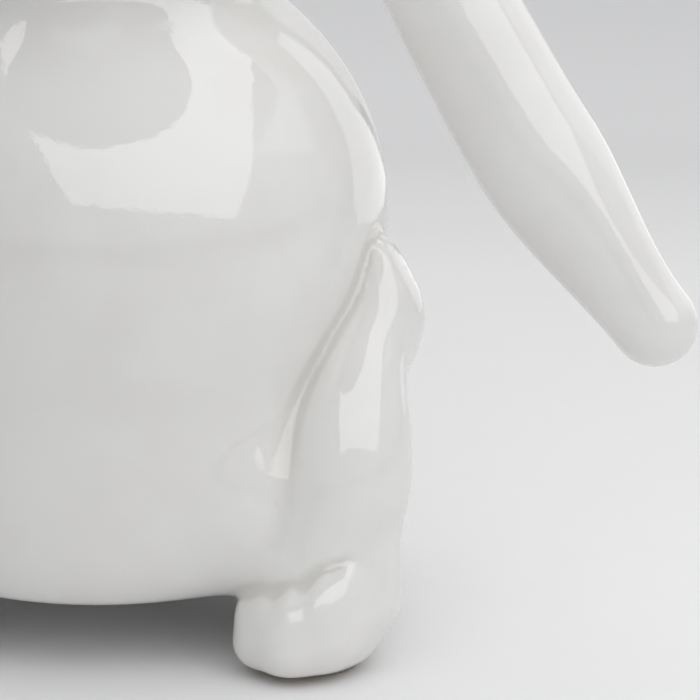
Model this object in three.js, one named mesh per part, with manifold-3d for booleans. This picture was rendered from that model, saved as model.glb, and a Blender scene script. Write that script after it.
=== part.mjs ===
// Hare figurine of glazed stoneware: hollow slip castings luted together, standing on three felt pads.
// Millimetres. +Z is up, the hare faces -Y and its left side is +X.
import * as THREE from 'three';
import { mergeVertices } from 'three/addons/utils/BufferGeometryUtils.js';
import Module from 'manifold-3d';

// Castings, joints and pads
const WALL = 5;
const JOINT_GAP = 0.3;
const BOSS_REACH = 2;
const VENT_RADIUS = 3;
const DRAIN_RADIUS = 4;
const PAD_RADIUS = 11;
const PAD_THICKNESS = 1.5;
const SOLE_EDGE = 4;

// How finely the castings' skins are drawn: sides round a form and rows from its top to its bottom
const TORSO_SIDES = 34;
const TORSO_ROWS = 24;
const HEAD_SIDES = 28;
const HEAD_ROWS = 18;
const EAR_SIDES = 16;
const EAR_STATIONS = 14;
const HAUNCH_SIDES = 22;
const HAUNCH_ROWS = 14;
const SHANK_SIDES = 18;
const SHANK_STATIONS = 9;
const FOOT_SIDES = 28;
const FOOT_ROWS = 13;
const FORELEG_SIDES = 12;
const FORELEG_STATIONS = 10;
const TAIL_SIDES = 20;
const TAIL_ROWS = 12;
const CAP_TILTS = [90, 70, 48, 24];
const CAVITY_COARSENESS = 1.5;
const TORSO_MIDDLE_SHARE = 0.25;
const ROD_SIDES = 24;
const WIDE_ROD_SIDES = 32;
const VENT_SIDES = 12;
const WALK_START = 200;
const WALK_SHARE = 0.8;
const WALK_STEPS = 400;
const TOUCHING = 1e-4;
const WELDED = 1e-5;
const CURVE_SAMPLES = 24;
const NARROWINGS = 24;

// Body: a round belly over a flat-bottomed seat, flanks that reach the feet, a rump that rests on the floor
const BELLY_HALF_WIDTH = 87;
const BELLY_HALF_DEPTH = 84;
const BELLY_HALF_HEIGHT = 83;
const BELLY_HEIGHT = 127;
const SEAT_HALF_WIDTH = 76;
const SEAT_HALF_DEPTH = 80;
const SEAT_HALF_HEIGHT = 95;
const SEAT_SETBACK = 8;
const SEAT_HEIGHT = 52;
const UNDERSIDE_LIFT = 17;
const UNDERSIDE_EDGE = 20;
const BELLY_BLEND = 46;
const FLANK_HALF_WIDTH = 34;
const FLANK_HALF_DEPTH = 50;
const FLANK_HALF_HEIGHT = 39;
const FLANK_LIFT = 9.5;
const FLANK_INSET = 43;
const FLANK_FORWARD = 14;
const FLANK_BLEND = 20;
const RUMP_HALF_WIDTH = 58;
const RUMP_HALF_DEPTH = 48;
const RUMP_HALF_HEIGHT = 50;
const RUMP_SETBACK = 40;
const RUMP_FLAT = 5;
const CHEST_HALF_WIDTH = 43;
const CHEST_HALF_DEPTH = 41;
const CHEST_HALF_HEIGHT = 44;
const CHEST_FORWARD = 4;
const CHEST_RISE = 2;
const CHEST_BLEND = 22;

// Neck joint: a spigot on the head plugs a bore through the ledge that closes the body's neck
const NECK_OVERLAP = 20;
const NECK_CUT = 2;
const NECK_LEDGE = 8;
const NECK_BLEND = 9;
const SPIGOT_RADIUS = 19;
const SPIGOT_LENGTH = 10;
const SPIGOT_BORE = 14;

// Head
const HEAD_HALF_WIDTH = 45;
const HEAD_HALF_DEPTH = 51;
const HEAD_HALF_HEIGHT = 42;
const HEAD_FORWARD = 2;
const MUZZLE_HALF_WIDTH = 26;
const MUZZLE_HALF_DEPTH = 27;
const MUZZLE_HALF_HEIGHT = 22;
const MUZZLE_FORWARD = 42;
const MUZZLE_DROP = 13;
const MUZZLE_BLEND = 24;
const CHEEK_INSET = 20;
const CHEEK_FORWARD = 22;
const CHEEK_DROP = 16;
const CHEEK_HALF_WIDTH = 22;
const CHEEK_HALF_DEPTH = 28;
const CHEEK_HALF_HEIGHT = 23;
const CHEEK_BLEND = 18;

// Ears: long lop ears that leave the top of the head and hang outwards, scooped on the inner rear face
const EAR_ROOT_RADIUS = 13;
const EAR_SWELL = 8;
const EAR_SWELL_START = 1.1;
const EAR_SWELL_END = 0.1;
const EAR_THICKNESS_RATIO = 0.85;
const EAR_ROOT_INSET = 31;
const EAR_ROOT_RISE = 21;
const EAR_ROOT_SETBACK = 6;
const EAR_ARCH_REACH = 19;
const EAR_ARCH_RISE = 42;
const EAR_ARCH_SETBACK = 10;
const EAR_HANG_REACH = 2.5;
const EAR_HANG_DROP = 83;
const EAR_HANG_FORWARD = 4;
const EAR_TIP_REACH = 82;
const EAR_TIP_DROP = 180;
const EAR_TIP_FORWARD = 8;
const EAR_SCOOP_START = 0.16;
const EAR_SCOOP_FADE = 0.22;
const EAR_SCOOP_DEPTH_RATIO = 0.84;
const EAR_SCOOP_WIDTH_RATIO = 0.62;
const EAR_SCOOP_BLEND = 5;
const EAR_SCOOP_SIDE = new THREE.Vector2(-0.45, 0.89);
const EAR_SPINE_SHIFT = 0.4;
const EAR_TENON_RADIUS = 8;
const EAR_TENON_LENGTH = 8;
const EAR_CAVITY_START = 0.12;
const EAR_CAVITY_END = 0.96;

// Hind legs: a flat haunch with a shank in front of it, and a long foot with four toes
const HAUNCH_HALF_WIDTH = 20;
const HAUNCH_HALF_DEPTH = 48;
const HAUNCH_HALF_HEIGHT = 50;
const HAUNCH_INSET = 17;
const HAUNCH_SETBACK = 3;
const HAUNCH_HEIGHT = 60;
const KNEE_HALF_WIDTH = 12;
const KNEE_HALF_DEPTH = 15;
const KNEE_HALF_HEIGHT = 23.5;
const KNEE_HEIGHT = 101;
const KNEE_OUTSET = 0.5;
const KNEE_FORWARD = 17;
const KNEE_BLEND = 10;
const SHANK_RADIUS = 11.5;
const SHANK_TAPER_END = 0.65;
const SHANK_TOP_FORWARD = 20;
const SHANK_TOP_RISE = 1;
const SHANK_UPPER_DROP = 14.3;
const SHANK_UPPER_INSET = 9.3;
const SHANK_UPPER_FORWARD = 43.8;
const SHANK_LOWER_DROP = 52;
const SHANK_LOWER_INSET = 3.5;
const SHANK_LOWER_FORWARD = 41.3;
const ANKLE_RADIUS = 20;
const ANKLE_RISE = 28;
const ANKLE_INSET = 17.5;
const ANKLE_SETBACK = 5;
const LEG_BOSS_RADIUS = 12;
const LEG_BOSS_ROOT = 6;
const FOOT_INSET = 15;
const FOOT_FORWARD = 48;
const FOOT_TURN = THREE.MathUtils.degToRad(-8);
const FOOT_HALF_WIDTH = 18.5;
const FOOT_RISE = 15;
const FOOT_MIDDLE_SETBACK = 6;
const HEEL_SETBACK = 62;
const HEEL_INSET = 7;
const HEEL_RADIUS = 14;
const BALL_RADIUS = 17;
const BALL_FORWARD = 2;
const INSTEP_RADIUS = 14;
const INSTEP_SETBACK = 8;
const INSTEP_OUTSET = 7.5;
const INSTEP_RISE = 25;
const TOE_COUNT = 4;
const TOE_PITCH = 9.8;
const TOE_RADIUS = 8.5;
const TOE_FORWARD = 20;
const TOE_ARCH = 0.055;
const TOE_LEAD = 4;
const TOE_LIFT = 0.03;
const TOE_SLOPE = 3;
const KNUCKLE_HEIGHT = 26;
const KNUCKLE_TILT = 0.41;
const TOE_BLEND = 12;
const TOE_GROOVE_BLEND = 9;
const FOOT_TOP = 36;
const FOOT_TOP_TILT = 0.41;
const FOOT_TOP_RISE = 0.45;
const FOOT_TOP_EDGE = 9;

// Forelegs, folded under the chin
const SHOULDER_RADIUS = 13.5;
const WRIST_RADIUS = 10.5;
const PAW_HALF_WIDTH = 10.5;
const PAW_HALF_DEPTH = 12;
const PAW_HALF_HEIGHT = 13;
const PAW_APART = 3;
const PAW_RISE = 17;
const SHOULDER_INSET = 7;
const SHOULDER_SETBACK = 6;
const SHOULDER_RISE = 16;
const ELBOW_REACH = 2;
const ELBOW_RISE = 2;
const FOREARM_INSET = 10;
const FOREARM_RISE = 4;
const FOREARM_END = 6;
const PAW_BLEND = 7;
const FORELEG_BOSS_RADIUS = 5;
const FORELEG_BOSS_ROOT = 5;
const FORELEG_BOSS_PLACE = 0.15;

// Tail
const TAIL_HALF_WIDTH = 21;
const TAIL_HALF_DEPTH = 19;
const TAIL_HALF_HEIGHT = 22;
const TAIL_HEIGHT = 52;
const TAIL_INSET = 3;
const TAIL_BOSS_RADIUS = 7;
const TAIL_BOSS_ROOT = 6;

// Heights and centres that follow from the sizes above
const SOLE = PAD_THICKNESS + JOINT_GAP;
const BELLY = point(0, 0, BELLY_HEIGHT);
const SEAT = point(0, SEAT_SETBACK, SEAT_HEIGHT);
const UNDERSIDE = SOLE + UNDERSIDE_LIFT;
const FLANK = point(BELLY_HALF_WIDTH - FLANK_INSET, -FLANK_FORWARD, SOLE + FLANK_LIFT + FLANK_HALF_HEIGHT);
const RUMP = point(0, RUMP_SETBACK, SOLE + RUMP_HALF_HEIGHT - RUMP_FLAT);
const CHEST = point(0, -CHEST_FORWARD, BELLY_HEIGHT + BELLY_HALF_HEIGHT + CHEST_RISE);
const CHEST_TOP = CHEST.z + CHEST_HALF_HEIGHT;
const HEAD = point(0, -HEAD_FORWARD, CHEST_TOP + HEAD_HALF_HEIGHT - NECK_OVERLAP);
const NECK_PLANE = CHEST_TOP - NECK_OVERLAP + NECK_CUT;
const HAUNCH = point(BELLY_HALF_WIDTH - HAUNCH_INSET, HAUNCH_SETBACK, HAUNCH_HEIGHT);
const KNEE = point(BELLY_HALF_WIDTH + KNEE_OUTSET, -KNEE_FORWARD, KNEE_HEIGHT);
const FOOT = point(BELLY_HALF_WIDTH - FOOT_INSET, -FOOT_FORWARD, SOLE);
const CHEST_FRONT = CHEST.y - CHEST_HALF_DEPTH;
const PAW = point(PAW_HALF_WIDTH + PAW_APART / 2, CHEST_FRONT - PAW_HALF_DEPTH / 2, CHEST.z + PAW_RISE);

// The ear hangs in a long arc from inside the head to its tip
const EAR_CURVE = new THREE.CubicBezierCurve3(
  point(HEAD_HALF_WIDTH - EAR_ROOT_INSET, HEAD.y + EAR_ROOT_SETBACK, HEAD.z + EAR_ROOT_RISE),
  point(HEAD_HALF_WIDTH + EAR_ARCH_REACH, HEAD.y + EAR_ARCH_SETBACK, HEAD.z + EAR_ARCH_RISE),
  point(BELLY_HALF_WIDTH + EAR_HANG_REACH, HEAD.y - EAR_HANG_FORWARD, HEAD.z - EAR_HANG_DROP),
  point(BELLY_HALF_WIDTH + EAR_TIP_REACH, HEAD.y - EAR_TIP_FORWARD, HEAD.z - EAR_TIP_DROP),
);

// The shank runs from the knee, high on the belly's side, down into the foot
const SHANK_CURVE = new THREE.CubicBezierCurve3(
  point(BELLY_HALF_WIDTH, -SHANK_TOP_FORWARD, KNEE_HEIGHT + SHANK_TOP_RISE),
  point(BELLY_HALF_WIDTH - SHANK_UPPER_INSET, -SHANK_UPPER_FORWARD, KNEE_HEIGHT - SHANK_UPPER_DROP),
  point(BELLY_HALF_WIDTH - SHANK_LOWER_INSET, -SHANK_LOWER_FORWARD, KNEE_HEIGHT - SHANK_LOWER_DROP),
  point(BELLY_HALF_WIDTH - ANKLE_INSET, FOOT.y + ANKLE_SETBACK, SOLE + ANKLE_RISE),
);

// The foreleg runs from the shoulder, round the chest, to the paw
const FORELEG_CURVE = new THREE.CubicBezierCurve3(
  point(CHEST_HALF_WIDTH - SHOULDER_INSET, CHEST.y + SHOULDER_SETBACK, CHEST.z + SHOULDER_RISE),
  point(CHEST_HALF_WIDTH + ELBOW_REACH, CHEST.y - CHEST_HALF_DEPTH / 2, CHEST.z + ELBOW_RISE),
  point(CHEST_HALF_WIDTH - FOREARM_INSET, CHEST_FRONT, CHEST.z + FOREARM_RISE),
  point(PAW.x, PAW.y + FOREARM_END, PAW.z),
);

const GLAZE = new THREE.MeshStandardMaterial({ color: 0xe4e3df, roughness: 0.12, metalness: 0 });
const FELT = new THREE.MeshStandardMaterial({ color: 0x8c8a86, roughness: 0.95, metalness: 0 });

const wasm = await Module();
wasm.setup();

function point(x, y, z) {
  return new THREE.Vector3(x, y, z);
}

// Fields: each gives the signed distance, about right near the surface, from a point to a form

function smoothUnion(a, b, blend) {
  const share = Math.max(blend - Math.abs(a - b), 0) / blend;
  return Math.min(a, b) - share ** 3 * blend / 6;
}

function smoothCut(a, b, blend) {
  return -smoothUnion(-a, -b, blend);
}

function ease(t) {
  const s = THREE.MathUtils.clamp(t, 0, 1);
  return s * s * (3 - 2 * s);
}

function ellipsoid(centre, halfWidth, halfDepth, halfHeight) {
  const radii = point(halfWidth, halfDepth, halfHeight);
  const least = Math.min(halfWidth, halfDepth, halfHeight);
  return (p) => {
    const unit = p.clone().sub(centre).divide(radii);
    const steep = unit.clone().divide(radii).length();
    const far = unit.length();
    return steep > 0 ? far * (far - 1) / steep : -least;
  };
}

function roundCone(start, end, startRadius, endRadius) {
  const axis = end.clone().sub(start);
  const length = axis.length();
  axis.divideScalar(length);
  const lean = (startRadius - endRadius) / length;
  const upright = Math.sqrt(1 - lean * lean);
  return (p) => {
    const offset = p.clone().sub(start);
    const along = offset.dot(axis);
    const away = Math.sqrt(Math.max(offset.lengthSq() - along * along, 0));
    const slant = along * upright - away * lean;
    if (slant < 0) {
      return offset.length() - startRadius;
    }
    if (slant > length * upright) {
      return p.distanceTo(end) - endRadius;
    }
    return away * upright + along * lean - startRadius;
  };
}

// Nearest place on a curve: its parameter, and the point's offsets sideways, in depth and along the curve
function nearestOn(curve, p, across) {
  let nearest = 0;
  let least = Infinity;
  for (let i = 0; i <= CURVE_SAMPLES; i += 1) {
    const distance = curve.getPoint(i / CURVE_SAMPLES).distanceToSquared(p);
    if (distance < least) {
      least = distance;
      nearest = i;
    }
  }
  let low = Math.max(nearest - 1, 0) / CURVE_SAMPLES;
  let high = Math.min(nearest + 1, CURVE_SAMPLES) / CURVE_SAMPLES;
  for (let step = 0; step < NARROWINGS; step += 1) {
    const third = (high - low) / 3;
    const lower = curve.getPoint(low + third).distanceToSquared(p);
    const upper = curve.getPoint(high - third).distanceToSquared(p);
    if (lower < upper) {
      high -= third;
    } else {
      low += third;
    }
  }
  const place = (low + high) / 2;
  const { tangent, side, depth } = sectionAt(curve, place, across);
  const offset = p.clone().sub(curve.getPoint(place));
  return { place, side: offset.dot(side), depth: offset.dot(depth), along: offset.dot(tangent) };
}

function sectionAt(curve, place, across) {
  const tangent = curve.getTangent(place);
  const side = tangent.clone().cross(across).normalize();
  const depth = side.clone().cross(tangent);
  return { tangent, side, depth };
}

const LEFTWARDS = point(1, 0, 0);
const BACKWARDS = point(0, 1, 0);
const ACROSS_DEPTH = BACKWARDS;
const ACROSS_HEIGHT = point(0, 0, 1);

const belly = ellipsoid(BELLY, BELLY_HALF_WIDTH, BELLY_HALF_DEPTH, BELLY_HALF_HEIGHT);
const seat = ellipsoid(SEAT, SEAT_HALF_WIDTH, SEAT_HALF_DEPTH, SEAT_HALF_HEIGHT);
const flank = ellipsoid(FLANK, FLANK_HALF_WIDTH, FLANK_HALF_DEPTH, FLANK_HALF_HEIGHT);
const rump = ellipsoid(RUMP, RUMP_HALF_WIDTH, RUMP_HALF_DEPTH, RUMP_HALF_HEIGHT);
const chest = ellipsoid(CHEST, CHEST_HALF_WIDTH, CHEST_HALF_DEPTH, CHEST_HALF_HEIGHT);

function torso(p) {
  const mirrored = point(Math.abs(p.x), p.y, p.z);
  let d = smoothUnion(belly(p), seat(p), BELLY_BLEND);
  d = smoothUnion(d, flank(mirrored), FLANK_BLEND);
  d = smoothCut(d, UNDERSIDE - p.z, UNDERSIDE_EDGE);
  d = smoothUnion(d, rump(p), FLANK_BLEND);
  d = smoothUnion(d, chest(p), CHEST_BLEND);
  return smoothCut(d, SOLE - p.z, SOLE_EDGE);
}

const skull = ellipsoid(HEAD, HEAD_HALF_WIDTH, HEAD_HALF_DEPTH, HEAD_HALF_HEIGHT);
const muzzle = ellipsoid(
  point(0, HEAD.y - MUZZLE_FORWARD, HEAD.z - MUZZLE_DROP),
  MUZZLE_HALF_WIDTH, MUZZLE_HALF_DEPTH, MUZZLE_HALF_HEIGHT,
);
const cheek = ellipsoid(
  point(HEAD_HALF_WIDTH - CHEEK_INSET, HEAD.y - CHEEK_FORWARD, HEAD.z - CHEEK_DROP),
  CHEEK_HALF_WIDTH, CHEEK_HALF_DEPTH, CHEEK_HALF_HEIGHT,
);

function head(p) {
  const mirrored = point(Math.abs(p.x), p.y, p.z);
  const d = smoothUnion(skull(p), muzzle(p), MUZZLE_BLEND);
  return smoothUnion(d, cheek(mirrored), CHEEK_BLEND);
}

function headAndNeck(p) {
  return smoothUnion(head(p), torso(p), NECK_BLEND);
}

function earRadius(place) {
  return EAR_ROOT_RADIUS + EAR_SWELL * ease(place / EAR_SWELL_START) * ease((1 - place) / EAR_SWELL_END);
}

function earScoopFade(place) {
  return ease((place - EAR_SCOOP_START) / EAR_SCOOP_FADE) * ease((1 - place) / EAR_SCOOP_FADE);
}

function ear(p) {
  const { place, side, depth, along } = nearestOn(EAR_CURVE, p, ACROSS_DEPTH);
  const radius = earRadius(place);
  const d = Math.hypot(side, depth / EAR_THICKNESS_RATIO, along) - radius;
  const inward = side * EAR_SCOOP_SIDE.x + depth * EAR_SCOOP_SIDE.y;
  const sideways = side * EAR_SCOOP_SIDE.y - depth * EAR_SCOOP_SIDE.x;
  const scoopRadius = radius * EAR_SCOOP_DEPTH_RATIO;
  const scoop = Math.hypot(sideways / EAR_SCOOP_WIDTH_RATIO, inward - radius) - scoopRadius;
  return smoothCut(d, -scoop - (1 - earScoopFade(place)) * radius * 2, EAR_SCOOP_BLEND);
}

const haunch = ellipsoid(HAUNCH, HAUNCH_HALF_WIDTH, HAUNCH_HALF_DEPTH, HAUNCH_HALF_HEIGHT);
const knee = ellipsoid(KNEE, KNEE_HALF_WIDTH, KNEE_HALF_DEPTH, KNEE_HALF_HEIGHT);

function shank(p) {
  const { place, side, depth, along } = nearestOn(SHANK_CURVE, p, ACROSS_DEPTH);
  const radius = THREE.MathUtils.lerp(SHANK_RADIUS, ANKLE_RADIUS, ease(place / SHANK_TAPER_END));
  return smoothUnion(knee(p), Math.hypot(side, depth, along) - radius, KNEE_BLEND);
}

const sole = roundCone(
  point(0, 0, FOOT_RISE), point(-HEEL_INSET, HEEL_SETBACK, HEEL_RADIUS), FOOT_HALF_WIDTH, HEEL_RADIUS,
);
const instep = roundCone(
  point(0, -BALL_FORWARD, FOOT_RISE), point(INSTEP_OUTSET, INSTEP_SETBACK, INSTEP_RISE),
  BALL_RADIUS, INSTEP_RADIUS,
);
const toes = Array.from({ length: TOE_COUNT }, (_, index) => {
  const x = (index - (TOE_COUNT - 1) / 2) * TOE_PITCH;
  const spread = (x + TOE_LEAD) ** 2;
  const front = TOE_ARCH * spread - TOE_FORWARD;
  const knuckle = point(x, front + TOE_SLOPE, KNUCKLE_HEIGHT + KNUCKLE_TILT * x);
  const lift = TOE_LIFT * Math.max(x + TOE_LEAD, 0) ** 2;
  return roundCone(knuckle, point(x, front, TOE_RADIUS + lift), TOE_RADIUS, TOE_RADIUS);
});

// The foot's top slopes down to the toes and inwards
const footTop = new THREE.Plane(point(-FOOT_TOP_TILT, -FOOT_TOP_RISE, 1), -FOOT_TOP).normalize();

function foot(p) {
  const local = p.clone().sub(FOOT).applyAxisAngle(ACROSS_HEIGHT, -FOOT_TURN);
  const toeRow = toes.reduce((row, toe) => smoothUnion(row, toe(local), TOE_GROOVE_BLEND), Infinity);
  let d = smoothUnion(sole(local), instep(local), TOE_BLEND);
  d = smoothUnion(d, toeRow, TOE_BLEND);
  d = smoothCut(d, footTop.distanceToPoint(local), FOOT_TOP_EDGE);
  return smoothCut(d, -local.z, SOLE_EDGE);
}

const paw = ellipsoid(PAW, PAW_HALF_WIDTH, PAW_HALF_DEPTH, PAW_HALF_HEIGHT);

function foreleg(p) {
  const { place, side, depth, along } = nearestOn(FORELEG_CURVE, p, ACROSS_HEIGHT);
  const radius = THREE.MathUtils.lerp(SHOULDER_RADIUS, WRIST_RADIUS, place);
  return smoothUnion(Math.hypot(side, depth, along) - radius, paw(p), PAW_BLEND);
}

const TAIL = surfaceFrom(torso, point(0, 0, TAIL_HEIGHT), BACKWARDS);
TAIL.addScaledVector(BACKWARDS, -TAIL_INSET);
const tail = ellipsoid(TAIL, TAIL_HALF_WIDTH, TAIL_HALF_DEPTH, TAIL_HALF_HEIGHT);

// Solids

function solidFrom(geometry) {
  const bare = geometry.clone();
  bare.deleteAttribute('normal');
  bare.deleteAttribute('uv');
  const welded = mergeVertices(bare, WELDED);
  return new wasm.Manifold(new wasm.Mesh({
    numProp: 3,
    vertProperties: new Float32Array(welded.attributes.position.array),
    triVerts: new Uint32Array(welded.index.array),
  }));
}

function geometryFrom(solid) {
  const mesh = solid.getMesh();
  const geometry = new THREE.BufferGeometry();
  geometry.setAttribute('position', new THREE.BufferAttribute(mesh.vertProperties, 3));
  geometry.setIndex(new THREE.BufferAttribute(mesh.triVerts, 1));
  return geometry;
}

// The outermost point of a form on a ray, walked in from a distance by a safe share of each gap
function surfaceFrom(field, origin, direction, reach = WALK_START) {
  const p = point(0, 0, 0);
  let distance = reach;
  for (let step = 0; step < WALK_STEPS; step += 1) {
    p.copy(direction).multiplyScalar(distance).add(origin);
    const gap = field(p);
    if (gap < TOUCHING) {
      break;
    }
    distance -= gap * WALK_SHARE;
  }
  return p;
}

// A closed skin with the topology of a sphere, each vertex placed by its row, from the top, and its angle
function closedSkin(sides, rows, place) {
  const geometry = new THREE.SphereGeometry(1, sides, rows);
  const position = geometry.attributes.position;
  for (let row = 0; row <= rows; row += 1) {
    for (let column = 0; column <= sides; column += 1) {
      const angle = (column % sides) / sides * 2 * Math.PI;
      const pole = row === 0 || row === rows;
      const vertex = place(row, pole ? 0 : angle);
      position.setXYZ(row * (sides + 1) + column, vertex.x, vertex.y, vertex.z);
    }
  }
  return solidFrom(geometry);
}

// A skin drawn over a form from a centre inside it
function wrap(field, centre, sides, rows) {
  return closedSkin(sides, rows, (row, angle) => {
    const polar = row / rows * Math.PI;
    const direction = new THREE.Vector3().setFromSphericalCoords(1, polar, angle);
    return surfaceFrom(field, centre, point(direction.z, direction.x, direction.y));
  });
}

// A cavity's skin is hidden, so it is drawn more coarsely than the outside of the same form
function coarser(count) {
  return Math.round(count / CAVITY_COARSENESS);
}

function wrapCavity(field, centre, sides, rows) {
  return wrap(field, centre, coarser(sides), coarser(rows));
}

// A skin drawn over a form from stations along a curve inside it, with a cap of a few rows at each end
function wrapAlong(field, curve, across, stations, sides, spineAt, reach) {
  const caps = CAP_TILTS.map((degrees) => THREE.MathUtils.degToRad(degrees));
  const first = stations[0];
  const last = stations[stations.length - 1];
  const rows = [
    ...caps.map((tilt) => ({ place: last, tilt })),
    ...stations.toReversed().map((place) => ({ place, tilt: 0 })),
    ...caps.toReversed().map((tilt) => ({ place: first, tilt: -tilt })),
  ];
  return closedSkin(sides, rows.length - 1, (row, angle) => {
    const { place, tilt } = rows[row];
    const { tangent, side, depth } = sectionAt(curve, place, across);
    const direction = side.clone().multiplyScalar(Math.cos(angle));
    direction.addScaledVector(depth, -Math.sin(angle));
    direction.multiplyScalar(Math.cos(tilt)).addScaledVector(tangent, Math.sin(tilt));
    return surfaceFrom(field, spineAt(place), direction, reach);
  });
}

function rod(start, end, radius, sides = ROD_SIDES) {
  const axis = end.clone().sub(start);
  const geometry = new THREE.CylinderGeometry(radius, radius, axis.length(), sides);
  const turn = new THREE.Quaternion().setFromUnitVectors(point(0, 1, 0), axis.clone().normalize());
  geometry.applyQuaternion(turn);
  const middle = start.clone().add(end).multiplyScalar(0.5);
  geometry.translate(middle.x, middle.y, middle.z);
  return solidFrom(geometry);
}

const FAR = 500;

function halfSpaceAbove(height) {
  const geometry = new THREE.BoxGeometry(FAR, FAR, FAR);
  geometry.translate(0, 0, height + FAR / 2);
  return solidFrom(geometry);
}

// The same form, grown or shrunk by an even thickness
function grown(field, thickness) {
  return (p) => field(p) - thickness;
}

// A joint between a casting and the wall of another: where the boss starts and ends, and its radius
function bossThrough(field, root, direction, rootDepth, radius) {
  const seatPoint = surfaceFrom(field, root, direction);
  const outer = seatPoint.clone().addScaledVector(direction, rootDepth);
  const inner = seatPoint.clone().addScaledVector(direction, -WALL - BOSS_REACH);
  const outerClear = seatPoint.clone().addScaledVector(direction, rootDepth + WALL);
  const innerClear = inner.clone().addScaledVector(direction, -WALL);
  return {
    boss: rod(inner, outer, radius),
    socket: rod(innerClear, outerClear, radius + JOINT_GAP),
  };
}

function mirroredSolid(solid) {
  return solid.scale([-1, 1, 1]);
}

const legJoint = bossThrough(
  torso, point(0, HAUNCH.y, HAUNCH.z), LEFTWARDS, LEG_BOSS_ROOT, LEG_BOSS_RADIUS,
);
const shoulder = FORELEG_CURVE.getPoint(FORELEG_BOSS_PLACE);
const forelegJoint = bossThrough(
  torso, point(0, shoulder.y, shoulder.z), LEFTWARDS, FORELEG_BOSS_ROOT, FORELEG_BOSS_RADIUS,
);
const tailJoint = bossThrough(torso, point(0, 0, TAIL.z), BACKWARDS, TAIL_BOSS_ROOT, TAIL_BOSS_RADIUS);

// Body: an open-necked shell with sockets for the limbs and tail, and a drain in its underside
const TORSO_MIDDLE = BELLY.clone().lerp(SEAT, TORSO_MIDDLE_SHARE);
const torsoClearance = wrap(grown(torso, JOINT_GAP), TORSO_MIDDLE, TORSO_SIDES, TORSO_ROWS);

function makeBodyShell() {
  const outside = wrap(torso, TORSO_MIDDLE, TORSO_SIDES, TORSO_ROWS);
  const cavity = wrapCavity(grown(torso, -WALL), TORSO_MIDDLE, TORSO_SIDES, TORSO_ROWS)
    .subtract(halfSpaceAbove(NECK_PLANE - NECK_LEDGE));
  const neckBore = rod(
    point(0, CHEST.y, NECK_PLANE - NECK_LEDGE - WALL), point(0, CHEST.y, NECK_PLANE + WALL),
    SPIGOT_RADIUS + JOINT_GAP, WIDE_ROD_SIDES,
  );
  const drain = rod(point(0, 0, 0), point(0, 0, UNDERSIDE + WALL * 2), DRAIN_RADIUS);
  let shell = outside.subtract(halfSpaceAbove(NECK_PLANE)).subtract(cavity);
  const sockets = [legJoint.socket, forelegJoint.socket];
  sockets.forEach((socket) => {
    shell = shell.subtract(socket).subtract(mirroredSolid(socket));
  });
  return shell.subtract(tailJoint.socket).subtract(neckBore).subtract(drain);
}

// Head: a shell from the neck up, with the spigot below and a socket for each ear's tenon
const headClearance = wrap(grown(headAndNeck, JOINT_GAP), HEAD, HEAD_SIDES, HEAD_ROWS);

function earCrossing() {
  let inside = 0;
  let outside = 0.5;
  for (let step = 0; step < NARROWINGS; step += 1) {
    const middle = (inside + outside) / 2;
    if (head(EAR_CURVE.getPoint(middle)) < 0) {
      inside = middle;
    } else {
      outside = middle;
    }
  }
  return inside;
}

const EAR_ROOT_PLACE = earCrossing();
const earRoot = EAR_CURVE.getPoint(EAR_ROOT_PLACE);
const earRootTangent = EAR_CURVE.getTangent(EAR_ROOT_PLACE);
const tenonEnd = earRoot.clone().addScaledVector(earRootTangent, -WALL - BOSS_REACH);
const tenonTop = earRoot.clone().addScaledVector(earRootTangent, EAR_TENON_LENGTH);

function makeHeadShell() {
  const outside = wrap(headAndNeck, HEAD, HEAD_SIDES, HEAD_ROWS);
  const cavity = wrapCavity(grown(head, -WALL), HEAD, HEAD_SIDES, HEAD_ROWS);
  const spigotEnd = point(0, CHEST.y, NECK_PLANE - SPIGOT_LENGTH);
  const spigotRoot = point(0, CHEST.y, NECK_PLANE + WALL);
  const spigot = rod(spigotEnd, spigotRoot, SPIGOT_RADIUS, WIDE_ROD_SIDES);
  const boreEnd = point(0, CHEST.y, NECK_PLANE - SPIGOT_LENGTH - WALL);
  const boreTop = point(0, CHEST.y, HEAD.z);
  const bore = rod(boreEnd, boreTop, SPIGOT_BORE, WIDE_ROD_SIDES);
  const socketEnd = tenonEnd.clone().addScaledVector(earRootTangent, -WALL);
  const socket = rod(socketEnd, tenonTop, EAR_TENON_RADIUS + JOINT_GAP);
  return outside.intersect(halfSpaceAbove(NECK_PLANE + JOINT_GAP))
    .add(spigot)
    .subtract(cavity)
    .subtract(bore)
    .subtract(socket)
    .subtract(mirroredSolid(socket));
}

// Ear: a hollow crescent that leaves its root as a tenon, vented into the head
function earSpine(place) {
  const { side, depth } = sectionAt(EAR_CURVE, place, ACROSS_DEPTH);
  const shift = -EAR_SPINE_SHIFT * earScoopFade(place) * earRadius(place);
  const spine = EAR_CURVE.getPoint(place);
  spine.addScaledVector(side, shift * EAR_SCOOP_SIDE.x);
  return spine.addScaledVector(depth, shift * EAR_SCOOP_SIDE.y);
}

function evenly(from, to, count) {
  return Array.from({ length: count }, (_, index) => from + (to - from) * index / (count - 1));
}

function wrapEar(field, from, to, stations, sides) {
  const reach = (EAR_ROOT_RADIUS + EAR_SWELL) * 2;
  return wrapAlong(field, EAR_CURVE, ACROSS_DEPTH, evenly(from, to, stations), sides, earSpine, reach);
}

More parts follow.
